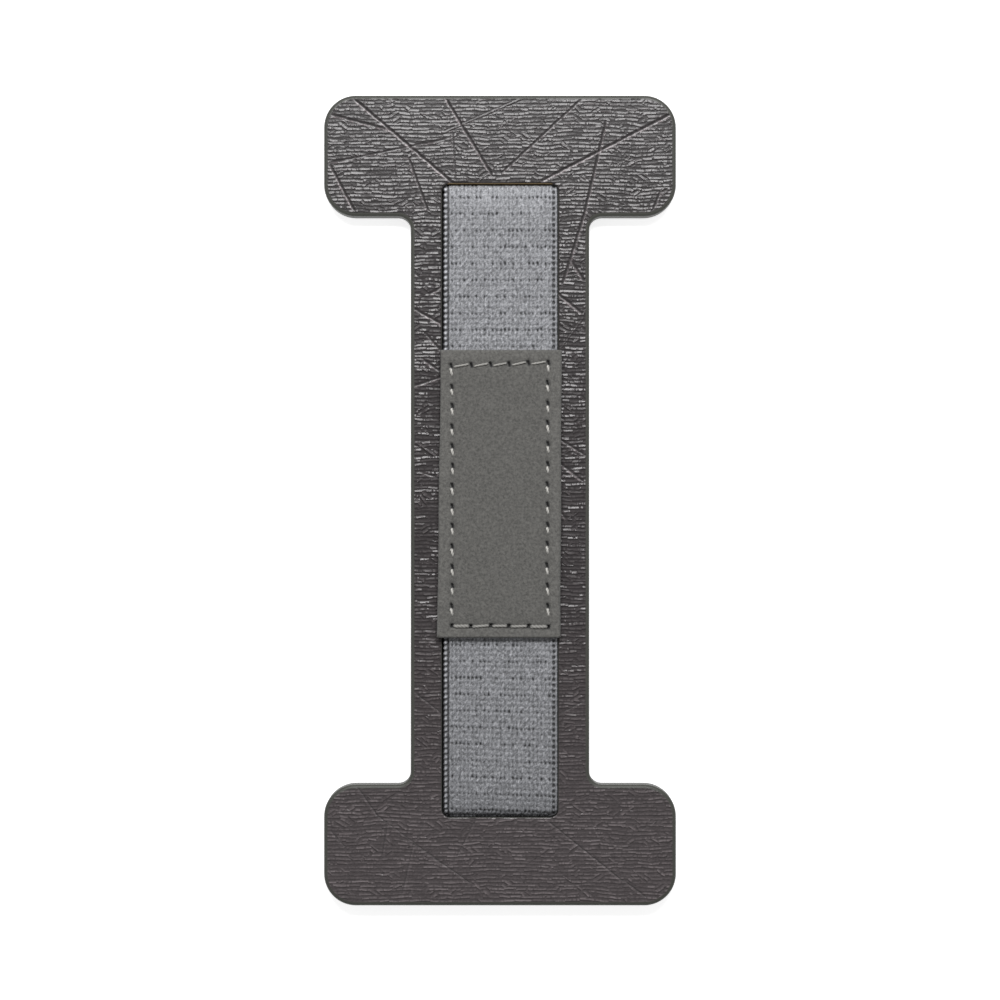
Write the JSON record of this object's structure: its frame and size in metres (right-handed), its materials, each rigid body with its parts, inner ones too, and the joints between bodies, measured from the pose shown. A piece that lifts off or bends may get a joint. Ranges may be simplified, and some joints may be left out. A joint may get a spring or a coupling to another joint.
{
  "type": "phone finger strap",
  "caption": "Flat I-shaped stick-on strap for the back of a phone: an elastic band in a long window, with a stitched patch, holds a finger.",
  "frame": {"origin": "middle of the adhesive sheet's underside, where the strap meets the phone", "axes": "+Z out of the phone, +Y along the elastic band towards the end at the top of the picture, +X across the band to the picture's right"},
  "size_m": [0.0466, 0.107, 0.0047],
  "materials": {
    "embossed_leather": "dark grey grained imitation leather, embossed with fine lines and long creases, satin",
    "fibre_board": "tan fibre board, cut edge",
    "grey_webbing": "light grey woven elastic, matt with a faint sheen",
    "grey_suede": "grey imitation suede, matt, with a cut edge",
    "grey_thread": "grey twisted sewing thread",
    "black_sheet": "black film-faced sheet, matt",
    "adhesive": "pale acrylic adhesive sheet, slightly glossy"
  },
  "bodies": {
    "root": {"face_cover": "embossed_leather", "core_board": "fibre_board", "elastic_band": "grey_webbing", "patch": "grey_suede", "needle_thread": "grey_thread", "bobbin_thread": "grey_thread", "backing_sheet": "black_sheet", "adhesive_sheet": "adhesive"}
  },
  "joints": []
}
